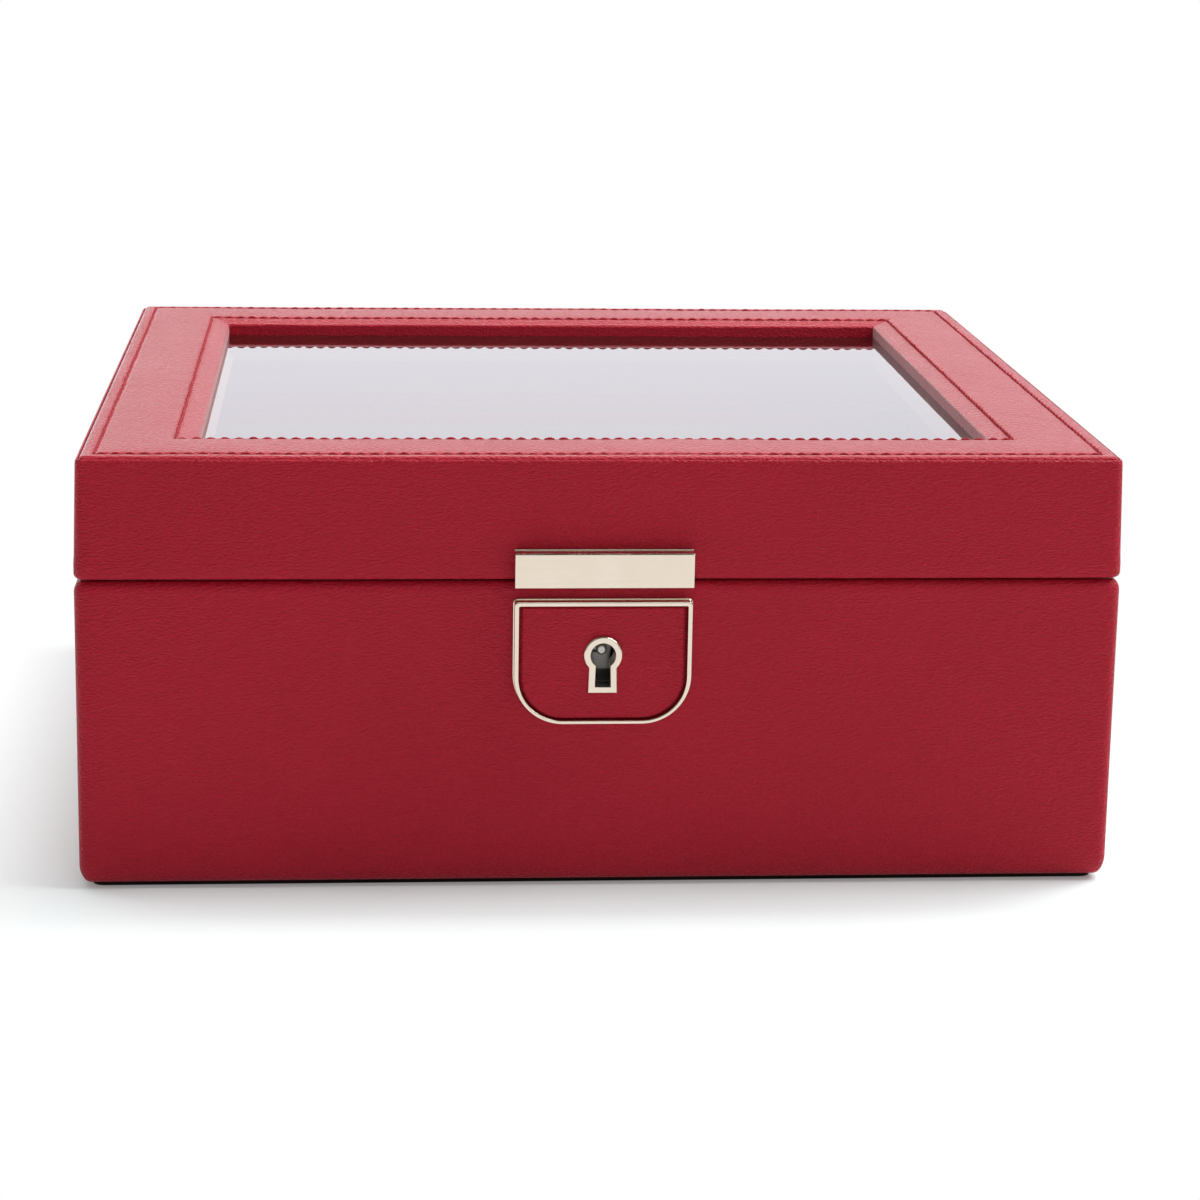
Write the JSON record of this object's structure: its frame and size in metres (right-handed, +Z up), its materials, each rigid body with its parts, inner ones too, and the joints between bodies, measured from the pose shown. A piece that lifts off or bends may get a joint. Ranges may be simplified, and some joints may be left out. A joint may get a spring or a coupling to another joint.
{
  "type": "watch box",
  "caption": "Rectangular watch box: leather-covered case with a hinged window lid, a front lock with bolt and staples, and a suede-lined tray of lift-out cushions.",
  "frame": {"origin": "on the ground under the middle of the closed box, on the underside of the base pad", "axes": "+X to the right along the width, +Y from the lock to the hinges, +Z up"},
  "size_m": [0.222, 0.2102, 0.094],
  "materials": {
    "red_leather": "pebbled grain, semi-gloss",
    "fibreboard": "sanded, raw",
    "black_suede": "short nap",
    "taupe_suede": "short nap over card",
    "cushion_suede": "short nap over foam",
    "clear_glass": "polished",
    "gilt_fittings": "pale gilt, fine satin",
    "hinge_brass": "polished",
    "lock_steel": "zinc plated"
  },
  "bodies": {
    "base": {"base_carcass": "fibreboard", "base_leather": "red_leather", "base_pad": "black_suede", "floor_lining": "taupe_suede", "base_lining_left": "taupe_suede", "base_lining_right": "taupe_suede", "base_lining_front": "taupe_suede", "base_lining_back": "taupe_suede", "long_divider": "taupe_suede", "cross_divider_1": "taupe_suede", "cross_divider_2": "taupe_suede", "cross_divider_3": "taupe_suede", "lock_case": "lock_steel", "lock_cap": "lock_steel", "drill_pin": "lock_steel", "bolt_spring": "lock_steel", "lock_face": "gilt_fittings", "lock_inlay": "red_leather", "keyhole_escutcheon": "gilt_fittings", "lock_case_screws": "lock_steel", "lock_face_screws": "lock_steel", "hinge_base_leaf_left": "hinge_brass", "hinge_base_leaf_right": "hinge_brass", "hinge_pin_left": "hinge_brass", "hinge_pin_right": "hinge_brass", "hinge_base_screws": "hinge_brass"},
    "lid": {"lid_carcass": "fibreboard", "lid_leather": "red_leather", "lid_top_board": "fibreboard", "lid_top_leather": "red_leather", "glass_pane": "clear_glass", "lid_lining_ceiling": "taupe_suede", "lid_lining_left": "taupe_suede", "lid_lining_right": "taupe_suede", "lid_lining_front": "taupe_suede", "lid_lining_back": "taupe_suede", "lid_catch": "lock_steel", "catch_staple_left": "lock_steel", "catch_staple_right": "lock_steel", "lid_catch_screws": "lock_steel", "latch_bar": "gilt_fittings", "latch_bar_screws": "lock_steel", "hinge_lid_leaf_left": "hinge_brass", "hinge_lid_leaf_right": "hinge_brass", "hinge_lid_screws": "hinge_brass"},
    "bolt": {"lock_bolt": "lock_steel"},
    "cushion_1": {"watch_cushion_1": "cushion_suede"},
    "cushion_2": {"watch_cushion_2": "cushion_suede"},
    "cushion_3": {"watch_cushion_3": "cushion_suede"},
    "cushion_4": {"watch_cushion_4": "cushion_suede"},
    "cushion_5": {"watch_cushion_5": "cushion_suede"},
    "cushion_6": {"watch_cushion_6": "cushion_suede"},
    "cushion_7": {"watch_cushion_7": "cushion_suede"},
    "cushion_8": {"watch_cushion_8": "cushion_suede"}
  },
  "joints": [
    {"name": "lid_hinge", "type": "hinge", "parent": "base", "child": "lid", "pos_m": [0, 0.1031, 0.0676], "axis": [-1, 0, 0], "range_deg": [0, 95]},
    {"name": "lock_bolt_slide", "type": "slide", "parent": "base", "child": "bolt", "axis": [1, 0, 0], "range_m": [0, 0.0035]},
    {"name": "watch_cushion_1_lift", "type": "slide", "parent": "base", "child": "cushion_1", "axis": [0, 0, 1], "range_m": [0, 0.03]},
    {"name": "watch_cushion_2_lift", "type": "slide", "parent": "base", "child": "cushion_2", "axis": [0, 0, 1], "range_m": [0, 0.03]},
    {"name": "watch_cushion_3_lift", "type": "slide", "parent": "base", "child": "cushion_3", "axis": [0, 0, 1], "range_m": [0, 0.03]},
    {"name": "watch_cushion_4_lift", "type": "slide", "parent": "base", "child": "cushion_4", "axis": [0, 0, 1], "range_m": [0, 0.03]},
    {"name": "watch_cushion_5_lift", "type": "slide", "parent": "base", "child": "cushion_5", "axis": [0, 0, 1], "range_m": [0, 0.03]},
    {"name": "watch_cushion_6_lift", "type": "slide", "parent": "base", "child": "cushion_6", "axis": [0, 0, 1], "range_m": [0, 0.03]},
    {"name": "watch_cushion_7_lift", "type": "slide", "parent": "base", "child": "cushion_7", "axis": [0, 0, 1], "range_m": [0, 0.03]},
    {"name": "watch_cushion_8_lift", "type": "slide", "parent": "base", "child": "cushion_8", "axis": [0, 0, 1], "range_m": [0, 0.03]}
  ]
}
